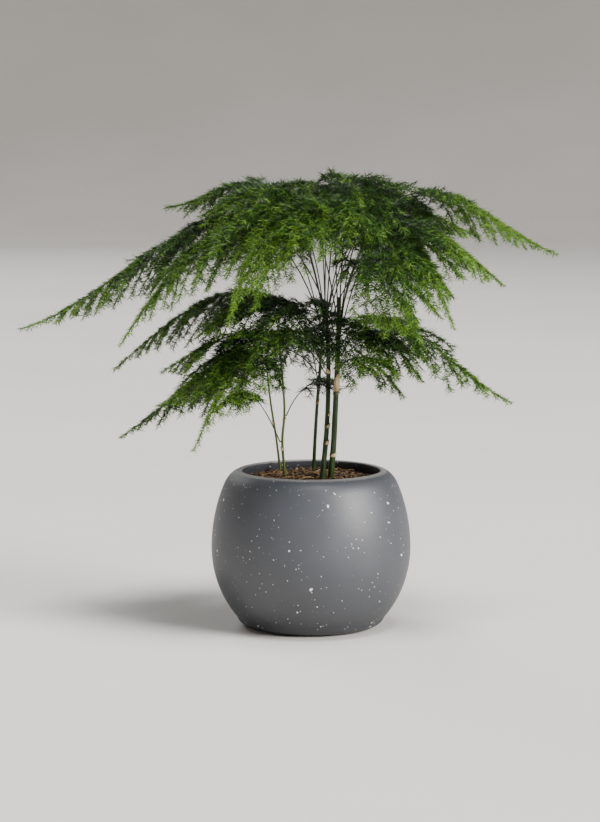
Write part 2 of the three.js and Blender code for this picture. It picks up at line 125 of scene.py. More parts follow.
WIDE_ANGLE, NARROW_ANGLE = 60, 28
TAIL = 0.96  # the share of the leafy run at which the frond's outline closes

# ---------------------------------------------------------------- sizes of the fine work

MIDRIB_RADII = (0.5, 0.18)
MIDRIB_STEPS = 30
SOCKET_DEPTH = 0.5  # how far out in the cane the stalk's foot lies, as a share of the cane's radius
# Fronds rolled about their midrib, the near side down: the degrees of roll, and how close the sprays
# stand, as a share of the usual spacing.
ROLLED = {"middle_front": (24, 0.7)}

TAIL_RADII = (0.2, 0.12)
TAIL_STEPS = 12
TAIL_RUNS = ((0.5, 0.75), (0.72, 0.6))  # needles on the midrib: where they start, and their size

SPRAY_RADII = (0.24, 0.1)
SPRAY_SPACING = 3.55
LAST_SPRAY = 0.98
SPRAY_REACH = (0.8, 0.34)  # the least share of the half width, and what the draw adds
LEAST_REACH, TWIGGY_REACH, LONG_REACH, FULL_REACH = 3.2, 7, 12, 28
SPRAY_TILT = (64, 20)  # the full range of tilt, in degrees, at the first and the last spray
SPRAY_NEEDLE = 0.9
FINEST = 0.66  # the size of needles at the frond's tip

TWIG_RADII = (0.13, 0.08)
TWIG_SPACING = 3.0
TWIG_FROM, TWIG_RUN, TWIGGY_SHARE = 0.14, 0.82, 0.86
TWIG_REACH = (2.8, 5.5)
TWIG_DRAW = (0.7, 0.6)
TWIG_ANGLE, TWIG_TILT, TWIG_DROOP = 48, 60, 0.12

NEEDLES = {
    "Spacing": 1.55 * MM, "Per Tuft": 5, "Length": 5.4 * MM, "Radius": 0.23 * MM,
    "Lean": math.radians(50), "Spread": math.radians(55), "Seed": 4,
}

# Tones of age and painted shade: how much darker a frond's foot and paler its tip are than its
# middle, how much paler its last spray and each spray's tip are, and how much darker a twig is than
# its spray. The darkening towards the foot and into the twigs is partly age and partly painted shade
# on the inner foliage.
AGE_AND_SHADE_SPAN, LAST_SPRAY_PALER, SPRAY_TIP_PALER, TWIG_DARKER = 0.45, 0.35, 0.25, 0.05
# Each frond and each spray draws its chances from whole numbers of its own.
FROND_DRAWS, SPRAY_DRAWS = 90, 31

CANE_STEPS = 110
THICK_CANE = 1  # the radius above which a cane counts as thick
JOINT_RISE, JOINT_SPREAD, JOINT_SWELL, JOINT_SCAR = 0.4, 0.9, 0.16, 0.8

FIBRES = 90
FIBRE_STEPS = 8
FIBRE_LENGTHS = (4, 7)  # the least length, and what the draw adds
FIBRE_RADII = (0.14, 0.16)
FIBRE_LIFT = 0.9
FIBRE_BED, FIBRE_BOUND = 36, 38  # the radii inside which fibres start and end

# Scale leaves: the cane, the height of the leaf's foot, its bearing, its length and half its wrap.
SCALE_LEAVES = (
    ("cane_main", 102.4, 340, 2.6, 115), ("cane_main", 142, 335, 12, 125),
    ("cane_second", 109.6, 350, 3.2, 80), ("cane_second", 119.8, 345, 2.8, 70),
    ("cane_second", 126.8, 350, 2.4, 65), ("cane_second", 152, 240, 3, 60), ("cane_back", 130.8, 20, 3, 80),
    ("thin_cane_front", 105.6, 200, 2.4, 80), ("thin_cane_front", 123.6, 20, 2.4, 80),
    ("thin_cane_back", 117.6, 160, 2.2, 80),
)
LEAF_ROWS, LEAF_COLUMNS = 6, 8
LEAF_THICKNESS, LEAF_FIT, LEAF_CLEARANCE, LEAF_FLARE = 0.18, 1.08, 0.08, 0.25
LEAF_TIP = 0.03  # half the turn of the leaf's tip, in radians

# ---------------------------------------------------------------- small tools


def mm(point):
    """A point in millimetres, as Blender's metres."""
    return Vector(point) * MM


def lerp(a, b, t):
    return a + (b - a) * t


def chance(a, b):
    """A repeatable number from 0 to 1 for a pair of whole numbers."""
    s = math.sin(a * 127.1 + b * 311.7) * 43758.5453
    return s - math.floor(s)


class Nodes:
    """Adds nodes to a tree: each gets its settings, then a value or a link for each named input."""

    def __init__(self, tree):
        self.tree = tree

    def add(self, kind, feeds=None, **settings):
        node = self.tree.nodes.new(kind)
        for name, value in settings.items():
            setattr(node, name, value)
        for name, source in (feeds or {}).items():
            socket = node.inputs[name] if isinstance(name, int) else next(
                s for s in node.inputs if s.name == name and s.enabled)
            if isinstance(source, bpy.types.NodeSocket):
                self.tree.links.new(source, socket)
            else:
                socket.default_value = source
        return node

    def get(self, kind, feeds=None, **settings):
        """Adds a node and hands back its first working output."""
        return next(s for s in self.add(kind, feeds, **settings).outputs if s.enabled)

    def math(self, operation, a, b=0.0, clamp=False):
        return self.get("ShaderNodeMath", {0: a, 1: b}, operation=operation, use_clamp=clamp)

    def vector(self, operation, a, b=(0, 0, 0)):
        return self.get("ShaderNodeVectorMath", {0: a, 1: b}, operation=operation)

    def scaled(self, vector, factor):
        return self.get("ShaderNodeVectorMath", {0: vector, "Scale": factor}, operation="SCALE")

    def named(self, name):
        """A geometry tree's reading of a number kept on the points."""
        return self.get("GeometryNodeInputNamedAttribute", {"Name": name}, data_type="FLOAT")

    def kept(self, name):
        """A material's reading of a number kept on the mesh."""
        return self.add("ShaderNodeAttribute", attribute_name=name).outputs["Fac"]

    def random(self, low, high, seed):
        kind = "FLOAT" if isinstance(low, float) else "FLOAT_VECTOR"
        return self.get("FunctionNodeRandomValue", {"Min": low, "Max": high, "Seed": seed}, data_type=kind)

    def mix(self, factor, a, b):
        """A blend of two colours."""
        return self.get("ShaderNodeMix", {"Factor": factor, "A": a, "B": b}, data_type="RGBA")

    def feed(self, source, node, name):
        self.tree.links.new(source, node.inputs[name])


def geometry_tree(name, inputs):
    """A geometry tree with named inputs: {name: (socket type, default)}."""
    tree = bpy.data.node_groups.new(name, "GeometryNodeTree")
    tree.interface.new_socket("Geometry", in_out="INPUT", socket_type="NodeSocketGeometry")
    for label, (kind, default) in inputs.items():
        socket = tree.interface.new_socket(label, in_out="INPUT", socket_type=kind)
        if default is not None:
            socket.default_value = default
    tree.interface.new_socket("Geometry", in_out="OUTPUT", socket_type="NodeSocketGeometry")
    return tree, Nodes(tree), tree.nodes.new("NodeGroupInput").outputs


def drop_empty_slots(mesh):
    """Drops the material slots that hold nothing, and keeps each face on its own material."""
    paints = list(mesh.materials)
    used = [paint for paint in paints if paint]
    places = np.array([used.index(paint) if paint else 0 for paint in paints], dtype=np.int32)
    slots = np.zeros(len(mesh.polygons), dtype=np.int32)
    mesh.polygons.foreach_get("material_index", slots)
    mesh.materials.clear()
    for paint in used:
        mesh.materials.append(paint)
    mesh.polygons.foreach_set("material_index", places[slots])


def grown(name, skeleton, tree, values):
    """The plain mesh object that a geometry tree makes of a skeleton mesh."""
    thing = bpy.data.objects.new(name, skeleton)
    bpy.context.collection.objects.link(thing)
    modifier = thing.modifiers.new(tree.name, "NODES")
    modifier.node_group = tree
    for item in tree.interface.items_tree:
        if item.in_out == "INPUT" and item.name in values:
            modifier[item.identifier] = values[item.name]
    made = bpy.data.meshes.new_from_object(thing.evaluated_get(bpy.context.evaluated_depsgraph_get()))
    thing.modifiers.clear()
    thing.data = made
    made.name = name
    drop_empty_slots(made)
    return thing


def finished(piece, slot, *nodes):
    """Every piece rides on the one body, and the solids it stands for are hidden; its slot is not used."""
    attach(piece, "root")
    if nodes:
        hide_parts(*nodes)
    return piece


def chains_mesh(name, chains):
    """A mesh of loose edges, one chain for each line, with a value at each point for every attribute.

    A chain is (points in metres, {attribute: values}).
    """
    points, edges, values = [], [], {}
    for line, attributes in chains:
        first = len(points)
        points.extend(line)
        edges.extend((first + i, first + i + 1) for i in range(len(line) - 1))
        for label, numbers in attributes.items():
            values.setdefault(label, []).extend(numbers)
    mesh = bpy.data.meshes.new(name)
    mesh.from_pydata(points, edges, [])
    for label, numbers in values.items():
        mesh.attributes.new(label, "FLOAT", "POINT").data.foreach_set("value", numbers)
    return mesh


# ---------------------------------------------------------------- materials


def principled(name, roughness, specular=0.5):
    """A new material, its nodes and its shader."""
    material = bpy.data.materials.new(name)
    material.use_nodes = True
    shader = material.node_tree.nodes["Principled BSDF"]
    shader.inputs["Roughness"].default_value = roughness
    shader.inputs["Specular IOR Level"].default_value = specular
    return material, Nodes(material.node_tree), shader


def ramp(nodes, factor, stops):
    """A colour ramp through (place, colour) stops."""
    node = nodes.add("ShaderNodeValToRGB", {"Fac": factor})
    while len(node.color_ramp.elements) < len(stops):
        node.color_ramp.elements.new(0.5)
    for element, (place, colour) in zip(node.color_ramp.elements, stops):
        element.position = place
        element.color = (*colour, 1)
    return node.outputs["Color"]


def noise_of(nodes, vector, scale, detail=2.0):
    return nodes.get("ShaderNodeTexNoise", {"Vector": vector, "Scale": scale, "Detail": detail})


def foliage_material():
    """Needles run from fresh yellow-green to dark old green by age and painted shade, each a little
    different.
    """
    material, nodes, shader = principled("asparagus needles", 0.42, 0.22)
    blend = nodes.math("ADD", nodes.kept("age_and_shade"), nodes.math("SUBTRACT", nodes.kept("vary"), 0.5), True)
    colour = ramp(nodes, blend, [
        (0.0, (0.15, 0.29, 0.028)), (0.3, (0.037, 0.112, 0.009)),
        (0.65, (0.0075, 0.03, 0.0025)), (1.0, (0.002, 0.009, 0.001)),
    ])
    nodes.feed(colour, shader, "Base Color")
    return material


def twig_material():
    """Green wiry stalks, paler where young and darker by age and painted shade."""
    material, nodes, shader = principled("frond stalks", 0.45, 0.4)
    colour = ramp(nodes, nodes.kept("age_and_shade"), [
        (0.0, (0.06, 0.1, 0.018)), (0.5, (0.022, 0.034, 0.009)), (1.0, (0.012, 0.015, 0.006)),
    ])
    nodes.feed(colour, shader, "Base Color")
    return material


# ---------------------------------------------------------------- canes


def through(points):
    """A smooth line through points, centripetal Catmull-Rom, as a function of 0 to 1."""
    points = [Vector(p) for p in points]
    ends = [points[0] * 2 - points[1], *points, points[-1] * 2 - points[-2]]

    def at(t):
        place = min(max(t, 0) * (len(points) - 1), len(points) - 1 - 1e-9)
        i = int(place)
        u = place - i
        a, b, c, d = ends[i:i + 4]
        ab, bc, cd = (math.sqrt((q - p).length) for p, q in ((a, b), (b, c), (c, d)))
        leave = ((b - a) / ab - (c - a) / (ab + bc) + (c - b) / bc) * bc
        arrive = ((c - b) / bc - (d - b) / (bc + cd) + (d - c) / cd) * bc
        return (b * (2 * u ** 3 - 3 * u ** 2 + 1) + leave * (u ** 3 - 2 * u ** 2 + u)
                + c * (3 * u ** 2 - 2 * u ** 3) + arrive * (u ** 3 - u ** 2))

    return at


def cane_at(name, height):
    """The axis point and radius of a cane at a height, found by halving."""
    route, radii, _ = CANES[name]
    line = through(route)
    low, high = 0.0, 1.0
    halvings = 24
    for _ in range(halvings):
        middle = (low + high) / 2
        low, high = (middle, high) if line(middle).z < height else (low, middle)
    return line(low), lerp(radii[0], radii[1], low)


def tube_tree():
    """Gives a skeleton's chains round bodies of their own thickness."""
    tree, nodes, given = geometry_tree("round canes", {
        "Sides": ("NodeSocketInt", 20), "Material": ("NodeSocketMaterial", None),
    })
    curve = nodes.get("GeometryNodeMeshToCurve", {"Mesh": given["Geometry"]})
    ring = nodes.get("GeometryNodeCurvePrimitiveCircle", {"Resolution": given["Sides"], "Radius": 1.0})
    body = nodes.get("GeometryNodeCurveToMesh", {
        "Curve": curve, "Profile Curve": ring, "Scale": nodes.named("thickness"), "Fill Caps": True,
    })
    smooth = nodes.get("GeometryNodeSetShadeSmooth", {"Geometry": body})
    painted = nodes.get("GeometryNodeSetMaterial", {"Geometry": smooth, "Material": given["Material"]})
    nodes.add("NodeGroupOutput", {"Geometry": painted})
    return tree


def cane_material(name, body_stops):
    """Smooth cane with pale streaks along it, and a thin pale scar at each joint."""
    material, nodes, shader = principled(name, 0.42, 0.3)
    place = nodes.add("ShaderNodeTexCoord").outputs["Object"]
    drawn_out = nodes.get("ShaderNodeMapping", {"Vector": place, "Scale": (900, 900, 60)})
    streak = noise_of(nodes, drawn_out, 1.0, 3.0)
    body = ramp(nodes, streak, body_stops)
    patchy = noise_of(nodes, place, 420.0, 3.0)
    scar = ramp(nodes, patchy, [
        (0.35, (0.12, 0.09, 0.03)), (0.5, (0.36, 0.31, 0.15)), (0.7, (0.6, 0.54, 0.34)),
    ])
    mask = nodes.math("MULTIPLY", nodes.kept("joint"), nodes.math("ADD", patchy, 0.35), True)
    nodes.feed(nodes.mix(mask, body, scar), shader, "Base Color")
    bump = nodes.get("ShaderNodeBump", {"Height": streak, "Strength": 0.25, "Distance": 0.0002})
    nodes.feed(bump, shader, "Normal")
    return material


def scale_leaf(cane, height, bearing, length, wrap):
    """A papery leaf that hugs one side of a cane, as the points and faces of a thin closed shell."""
    rows, columns = LEAF_ROWS, LEAF_COLUMNS
    points, faces = [], []
    for skin in (0, LEAF_THICKNESS):
        for row in range(rows + 1):
            rise = row / rows
            foot, radius = cane_at(cane, height + length * rise)
            half = math.radians(wrap) * (1 - rise ** 3) + LEAF_TIP
            out = radius * LEAF_FIT + LEAF_CLEARANCE + LEAF_FLARE * rise ** 3 + skin
            for column in range(columns + 1):
                turn = math.radians(bearing) + half * (2 * column / columns - 1)
                points.append((foot.x + out * math.cos(turn), foot.y + out * math.sin(turn), foot.z))
    wide, skin = columns + 1, (rows + 1) * (columns + 1)
    for row in range(rows):
        for column in range(columns):
            a = row * wide + column
            faces.append((a, a + wide, a + wide + 1, a + 1))
            faces.append((skin + a, skin + a + 1, skin + a + wide + 1, skin + a + wide))
    left, right = range(0, skin, wide), range(columns, skin, wide)
    for a, b in [(a, a + wide) for a in left[:-1]] + [(a + wide, a) for a in right[:-1]]:
        faces.append((a, skin + a, skin + b, b))
    top = rows * wide
    for a in range(columns):
        faces.append((a, a + 1, skin + a + 1, skin + a))
        faces.append((top + a + 1, top + a, skin + top + a, skin + top + a + 1))
    return points, faces


def scale_leaf_material():
    """Cream paper, streaked brown along the cane."""
    material, nodes, shader = principled("papery scale leaf", 0.7, 0.3)
    place = nodes.add("ShaderNodeTexCoord").outputs["Object"]
    drawn_out = nodes.get("ShaderNodeMapping", {"Vector": place, "Scale": (1400, 1400, 160)})
    streak = noise_of(nodes, drawn_out, 1.0, 4.0)
    colour = ramp(nodes, streak, [
        (0.3, (0.24, 0.13, 0.05)), (0.45, (0.55, 0.4, 0.2)), (0.65, (0.74, 0.63, 0.39)),
    ])
    nodes.feed(colour, shader, "Base Color")
    bump = nodes.get("ShaderNodeBump", {"Height": streak, "Strength": 0.4, "Distance": 0.0002})
    nodes.feed(bump, shader, "Normal")
    return material


def make_scale_leaves():
    """All the scale leaves as one piece."""
    points, faces = [], []
    for leaf in SCALE_LEAVES:
        its_points, its_faces = scale_leaf(*leaf)
        faces += [tuple(i + len(points) for i in face) for face in its_faces]
        points += [mm(point) for point in its_points]
    mesh = bpy.data.meshes.new("scale_leaves")
    mesh.from_pydata(points, [], faces)
    mesh.shade_smooth()
    mesh.materials.append(scale_leaf_material())
    leaves = bpy.data.objects.new("scale_leaves", mesh)
    bpy.context.collection.objects.link(leaves)
    finished(leaves, "dry_stem")


def make_canes(tree, green, young, dry):
    """Round canes that swell a little and are scarred at each joint, from the roots up."""
    for name, (route, radii, joints) in CANES.items():
        line = through(route)
        root = Vector(route[0])
        root.z = SOIL_LEVEL - ROOTING_DEPTH
        places = [root] + [line(i / CANE_STEPS) for i in range(CANE_STEPS + 1)]
        thickness, joint = [], []
        for i, place in enumerate(places):
            radius = lerp(radii[0], radii[1], max(0, i - 1) / CANE_STEPS)
            near = max([0] + [math.exp(-((place.z - height - JOINT_RISE) / JOINT_SPREAD) ** 2)
                              for height in joints])
            thickness.append(radius * (1 + JOINT_SWELL * near) * MM)
            joint.append(JOINT_SCAR * near ** 3)
        skeleton = chains_mesh(name, [([mm(p) for p in places], {"thickness": thickness, "joint": joint})])
        thick = radii[0] > THICK_CANE
        paint = dry if name == "dry_stem" else green if thick else young
        sides = 16 if thick else 10
        finished(grown(f"{name}_body", skeleton, tree, {"Sides": sides, "Material": paint}),
                 "dry_stem" if name == "dry_stem" else "cane", name)


# ---------------------------------------------------------------- fronds


def needle_tree():
    """Turns a frond's skeleton into round twigs, and sets needles in tufts along its leafy chains."""
    tree, nodes, given = geometry_tree("needled twigs", {
        "Spacing": ("NodeSocketFloat", 0.002), "Per Tuft": ("NodeSocketInt", 5),
        "Length": ("NodeSocketFloat", 0.005), "Radius": ("NodeSocketFloat", 0.0002),
        "Lean": ("NodeSocketFloat", 0.8), "Spread": ("NodeSocketFloat", 0.6),
        "Seed": ("NodeSocketInt", 0), "Twig": ("NodeSocketMaterial", None),
        "Needle": ("NodeSocketMaterial", None),
    })
    curve = nodes.get("GeometryNodeMeshToCurve", {"Mesh": given["Geometry"]})
    level = nodes.get("GeometryNodeSetCurveNormal", {"Curve": curve}, mode="Z_UP")

    ring = nodes.get("GeometryNodeCurvePrimitiveCircle", {"Resolution": 3, "Radius": 1.0})
    twigs = nodes.get("GeometryNodeCurveToMesh", {
        "Curve": level, "Profile Curve": ring, "Scale": nodes.named("thickness"), "Fill Caps": True,
    })
    twigs = nodes.get("GeometryNodeSetShadeSmooth", {"Geometry": twigs})
    twigs = nodes.get("GeometryNodeSetMaterial", {"Geometry": twigs, "Material": given["Twig"]})

    leafy = nodes.get("FunctionNodeCompare", {"A": nodes.named("needle"), "B": 0.01},
                      data_type="FLOAT", operation="GREATER_THAN")
    carriers = nodes.get("GeometryNodeSeparateGeometry", {
        "Geometry": level, "Selection": leafy,
    }, domain="CURVE")
    seats = nodes.add("GeometryNodeCurveToPoints", {
        "Curve": carriers, "Length": given["Spacing"],
    }, mode="LENGTH")
    tufts = nodes.add("GeometryNodeDuplicateElements", {
        "Geometry": seats.outputs["Points"], "Amount": given["Per Tuft"],
    }, domain="POINT")

    def draw(low, high, offset):
        return nodes.random(low, high, nodes.math("ADD", given["Seed"], float(offset)))

    # Needles go to the two sides by turns, fanned about the twig and leaning to its tip.
    turn = nodes.math("ADD", nodes.math("MULTIPLY", tufts.outputs["Duplicate Index"], math.pi),
                      nodes.math("MULTIPLY", given["Spread"], draw(-1.0, 1.0, 1)))
    lean = nodes.math("MULTIPLY", given["Lean"], draw(0.55, 1.35, 2))
    tangent, normal = seats.outputs["Tangent"], seats.outputs["Normal"]
    binormal = nodes.vector("CROSS_PRODUCT", tangent, normal)
    outward = nodes.vector("ADD", nodes.scaled(normal, nodes.math("COSINE", turn)),
                           nodes.scaled(binormal, nodes.math("SINE", turn)))
    way = nodes.vector("ADD", nodes.scaled(tangent, nodes.math("COSINE", lean)),
                       nodes.scaled(outward, nodes.math("SINE", lean)))
    aim = nodes.get("FunctionNodeAlignRotationToVector", {"Vector": way}, axis="Z")
    needle = nodes.get("GeometryNodeMeshCone", {
        "Vertices": 3, "Radius Top": 0.0, "Radius Bottom": given["Radius"], "Depth": given["Length"],
    })
    stretch = nodes.math("MULTIPLY", nodes.named("needle"), draw(0.7, 1.15, 3))
    size = nodes.get("ShaderNodeCombineXYZ", {"X": 1.0, "Y": 1.0, "Z": stretch})
    placed = nodes.get("GeometryNodeInstanceOnPoints", {
        "Points": tufts.outputs["Geometry"], "Instance": needle, "Rotation": aim, "Scale": size,
    })
    varied = nodes.get("GeometryNodeStoreNamedAttribute", {
        "Geometry": placed, "Name": "vary", "Value": draw(0.0, 1.0, 4),
    }, data_type="FLOAT", domain="INSTANCE")
    real = nodes.get("GeometryNodeRealizeInstances", {"Geometry": varied})
    needles = nodes.get("GeometryNodeSetMaterial", {"Geometry": real, "Material": given["Needle"]})

    joined = nodes.add("GeometryNodeJoinGeometry")
    nodes.feed(needles, joined, "Geometry")
    nodes.feed(twigs, joined, "Geometry")
    nodes.add("NodeGroupOutput", {"Geometry": joined.outputs["Geometry"]})
    return tree


def bezier(a, b, c, d, t):
    """The cubic Bezier curve of four values."""
    s = 1 - t
    return s ** 3 * a + 3 * s * s * t * b + 3 * s * t * t * c + t ** 3 * d


def midrib(name):
    """The midrib's line, as a function of 0 to 1, from inside the cane to the tip."""
    cane, bearing, reach, heights, _, _, swing, _ = FRONDS[name]
    foot, radius = cane_at(cane, heights[0])
    start = radius + GAP + MIDRIB_START
    outs = [start + share * reach for share in (0, CREST_AT, SHOULDER_AT, 1)]

    def at(t):
        out, height = bezier(*outs, t), bezier(*heights, t)
        turn = math.radians(bearing + swing * t)
        return Vector((foot.x + out * math.cos(turn), foot.y + out * math.sin(turn), height))

    socket = foot + (at(0) - foot) * (SOCKET_DEPTH * radius / start)
    return at, socket


def frame_on(at, t):
    """The directions along a line, level across it and over it."""
    near = 0.01
    along = (at(min(1, t + near)) - at(max(0, t - near))).normalized()
    across = along.cross(UP).normalized()
    return along, across, across.cross(along)


def outline(u):
    """A frond's outline: it widens quickly above the stalk and narrows to a thin tail."""
    return min(1, 0.5 + 2.4 * u) * max(0, 1 - u / TAIL) ** 0.85


def chain(points, radii, age_and_shade, needle):
    """A skeleton chain, tapering from one radius to the other."""
    count = len(points)
    return [mm(p) for p in points], {
        "thickness": [lerp(radii[0], radii[1], i / (count - 1)) * MM for i in range(count)],
        "age_and_shade": [age_and_shade] * count if isinstance(age_and_shade, (int, float)) else age_and_shade,
        "needle": [needle] * count,
    }


def side_line(start, along, across, over, side, angle, length, tilt, droop, steps):
    """A side branch that leaves forwards, curls a little to the front and sags."""
    curl = 0.1
    way = (along * math.cos(angle) + across * (side * math.sin(angle) * math.cos(tilt))
           + over * (math.sin(angle) * math.sin(tilt)))
    return [
        start + way * (s * length) + along * (curl * length * s * s) - UP * (droop * length * s * s)
        for s in (i / steps for i in range(steps + 1))
    ]


def twig_chains(spray, over, reach, young, fineness, number):
    """The leafy twigs of one spray, left and right by turns and shorter towards its tip."""
    steps = len(spray) - 1
    twigs = int(reach * TWIGGY_SHARE / TWIG_SPACING) if reach > TWIGGY_REACH else 0
    chains = []
    for j in range(twigs):
        s = TWIG_FROM + TWIG_RUN * (j + 0.5) / twigs
        k = min(steps - 1, int(s * steps))
        start = spray[k].lerp(spray[k + 1], s * steps - k)
        forward = (spray[k + 1] - spray[k]).normalized()
        sideways = forward.cross(over).normalized()
        draw = number * SPRAY_DRAWS + j
        length = ((TWIG_REACH[0] + TWIG_REACH[1] * (1 - s) * min(1, reach / FULL_REACH))
                  * (TWIG_DRAW[0] + TWIG_DRAW[1] * chance(draw, 5)))
        tilt = math.radians(TWIG_TILT * (chance(draw, 9) - 0.5))
        twig = side_line(start, forward, sideways, over, 1 if j % 2 else -1, math.radians(TWIG_ANGLE),
                         length, tilt, TWIG_DROOP, 1)
        # A twig is a little darker than its spray and paler towards the spray's tip; the darkening is partly
        # painted shade.
        age_and_shade = max(0, young + TWIG_DARKER - SPRAY_TIP_PALER * s * s)
        chains.append(chain(twig, TWIG_RADII, age_and_shade, fineness))
    return chains


def frond_chains(name, index):
    """One frond's chains: the midrib, the leafy runs on its tail, and its sprays with their twigs."""
    _, _, _, _, half_width, bare, _, age_and_shade = FRONDS[name]
    at, socket = midrib(name)
    line = [socket] + [at(i / MIDRIB_STEPS) for i in range(MIDRIB_STEPS + 1)]
    # The midrib's tone runs from dark at the foot, partly painted shade under the crown, to pale at the tip.
    foot_age_and_shade, tip_age_and_shade = min(1, age_and_shade + AGE_AND_SHADE_SPAN), max(0, age_and_shade - AGE_AND_SHADE_SPAN)
    midrib_age_and_shade = [lerp(foot_age_and_shade, tip_age_and_shade, i / (MIDRIB_STEPS + 1)) for i in range(MIDRIB_STEPS + 2)]
    chains = [chain(line, MIDRIB_RADII, midrib_age_and_shade, 0.0)]
    for start, needle in TAIL_RUNS:
        tail = [at(lerp(start, 1, i / TAIL_STEPS)) for i in range(TAIL_STEPS + 1)]
        chains.append(chain(tail, TAIL_RADII, tip_age_and_shade, needle))
    length = sum((q - p).length for p, q in zip(line, line[1:]))
    roll, closeness = ROLLED.get(name, (0, 1))
    sprays = round(length * (1 - bare) / (SPRAY_SPACING * closeness))
    for i in range(sprays):
        u = (i + 0.3) / sprays
        t = lerp(bare, LAST_SPRAY, u)
        number = index * FROND_DRAWS + i
        # young holds the spray's tone of age and painted shade: darker nearer the frond's foot, partly as
        # painted shade on the inner foliage.
        young = max(0, lerp(age_and_shade + AGE_AND_SHADE_SPAN, age_and_shade - LAST_SPRAY_PALER, u ** 0.6))
        fineness = lerp(1, FINEST, u ** 1.5)
        along, across, over = frame_on(at, t)
        turn = Matrix.Rotation(math.radians(roll), 3, along)
        across, over = turn @ across, turn @ over
        angle = math.radians(lerp(WIDE_ANGLE, NARROW_ANGLE, u))
        share = SPRAY_REACH[0] + SPRAY_REACH[1] * chance(number, 3)
        reach = max(LEAST_REACH, half_width * outline(u) * share)
        tilt = math.radians(lerp(*SPRAY_TILT, u) * (chance(number, 7) - 0.5))
        side = 1 if i % 2 else -1
        steps = 8 if reach > LONG_REACH else 4
        spray = side_line(at(t), along, across, over, side, angle, reach, tilt, SPRAY_DROOP, steps)
        spray_age_and_shade = [max(0, young - SPRAY_TIP_PALER * (k / steps) ** 2) for k in range(steps + 1)]
        chains.append(chain(spray, SPRAY_RADII, spray_age_and_shade, SPRAY_NEEDLE * fineness))
        chains += twig_chains(spray, over, reach, young, fineness, number)
    return chains


def make_fronds(tree, twig, needle):
    """Every frond as one piece, each in the place of its solid."""
    for index, name in enumerate(FRONDS):
        skeleton = chains_mesh(name, frond_chains(name, index))
        piece = grown(f"{name}_spray", skeleton, tree, {**NEEDLES, "Twig": twig, "Needle": needle})
        finished(piece, "foliage", f"{name}_frond")


# ---------------------------------------------------------------- pot


def belly_radius(z):
    """The pot's outer radius at a height: an ellipse above its widest ring and another below."""
    edge = POT_FOOT_EDGE if z < POT_WIDEST_AT else POT_RIM
    run = POT_WIDEST_AT if z < POT_WIDEST_AT else POT_HEIGHT - POT_WIDEST_AT
    axis = run / math.sqrt(1 - (edge / POT_WIDEST) ** 2)
    return POT_WIDEST * math.sqrt(1 - ((z - POT_WIDEST_AT) / axis) ** 2)


def inner_radius(z):
    """The pot's inner radius at a height: one wall inside the belly, drawn in to the mouth at the neck."""
    drawn = max(0, (z - (POT_HEIGHT - POT_NECK)) / POT_NECK)
    return lerp(belly_radius(z) - POT_WALL, POT_MOUTH, drawn * drawn)


def shoulder_line(t):
    """The rounding from the belly over to the lip, as radius and height."""
    foot = POT_HEIGHT - POT_SHOULDER
    edge = belly_radius(foot)
    lean = belly_radius(foot + 0.5) - belly_radius(foot - 0.5)
    crest = POT_MOUTH + POT_LIP_ROUND
    rise = 0.7 * POT_SHOULDER
    return (bezier(edge, edge + lean * rise, lerp(crest, edge, 0.25), crest, t),
            bezier(foot, foot + rise, POT_HEIGHT, POT_HEIGHT, t))


def revolved(name, profile, sides):
    """A closed mesh turned from a profile that starts and ends on the axis."""
    points, faces = [], []
    rings = profile[1:-1]
    for radius, z in rings:
        points.extend(mm((radius * math.cos(a), radius * math.sin(a), z))
                      for a in (2 * math.pi * i / sides for i in range(sides)))
    bottom, top = len(points), len(points) + 1
    points.extend((mm((0, 0, profile[0][1])), mm((0, 0, profile[-1][1]))))
    for ring in range(len(rings) - 1):
        for i in range(sides):
            a, b = ring * sides + i, ring * sides + (i + 1) % sides
            faces.append((a, b, b + sides, a + sides))
    last = (len(rings) - 1) * sides
    for i in range(sides):
        j = (i + 1) % sides
        faces.append((bottom, j, i))
        faces.append((top, last + i, last + j))
    mesh = bpy.data.meshes.new(name)
    mesh.from_pydata(points, [], faces)
    mesh.shade_smooth()
    thing = bpy.data.objects.new(name, mesh)
    bpy.context.collection.objects.link(thing)
    return thing


def pot_profile():
    """The pot's section: foot, belly, shoulder, lip and the inside down to its floor."""
    foot_steps, belly_steps, shoulder_steps, lip_steps, inner_steps = 9, 40, 14, 5, 25
    profile = [(0, 0), (POT_FOOT * 0.5, 0), (POT_FOOT - 0.6, 0), (POT_FOOT, 0)]
    corner = belly_radius(POT_FOOT_ROUND)
    for i in range(1, foot_steps):
        turn = math.radians(90 * i / foot_steps)
        profile.append((POT_FOOT + (corner - POT_FOOT) * math.sin(turn),
                        POT_FOOT_ROUND * (1 - math.cos(turn))))
    for i in range(belly_steps):
        z = lerp(POT_FOOT_ROUND, POT_HEIGHT - POT_SHOULDER, i / belly_steps)
        profile.append((belly_radius(z), z))
    profile += [shoulder_line(i / shoulder_steps) for i in range(shoulder_steps + 1)]
    for i in range(1, lip_steps + 1):
        turn = math.radians(90 * i / lip_steps)
        profile.append((POT_MOUTH + POT_LIP_ROUND * (1 - math.sin(turn)),
                        POT_HEIGHT - POT_LIP_ROUND * (1 - math.cos(turn))))
    for i in range(1, inner_steps + 1):
        z = lerp(POT_HEIGHT - POT_LIP_ROUND, POT_FLOOR + 0.2, i / inner_steps)
        profile.append((inner_radius(z), z))
    profile.append((0, POT_FLOOR))
    return profile


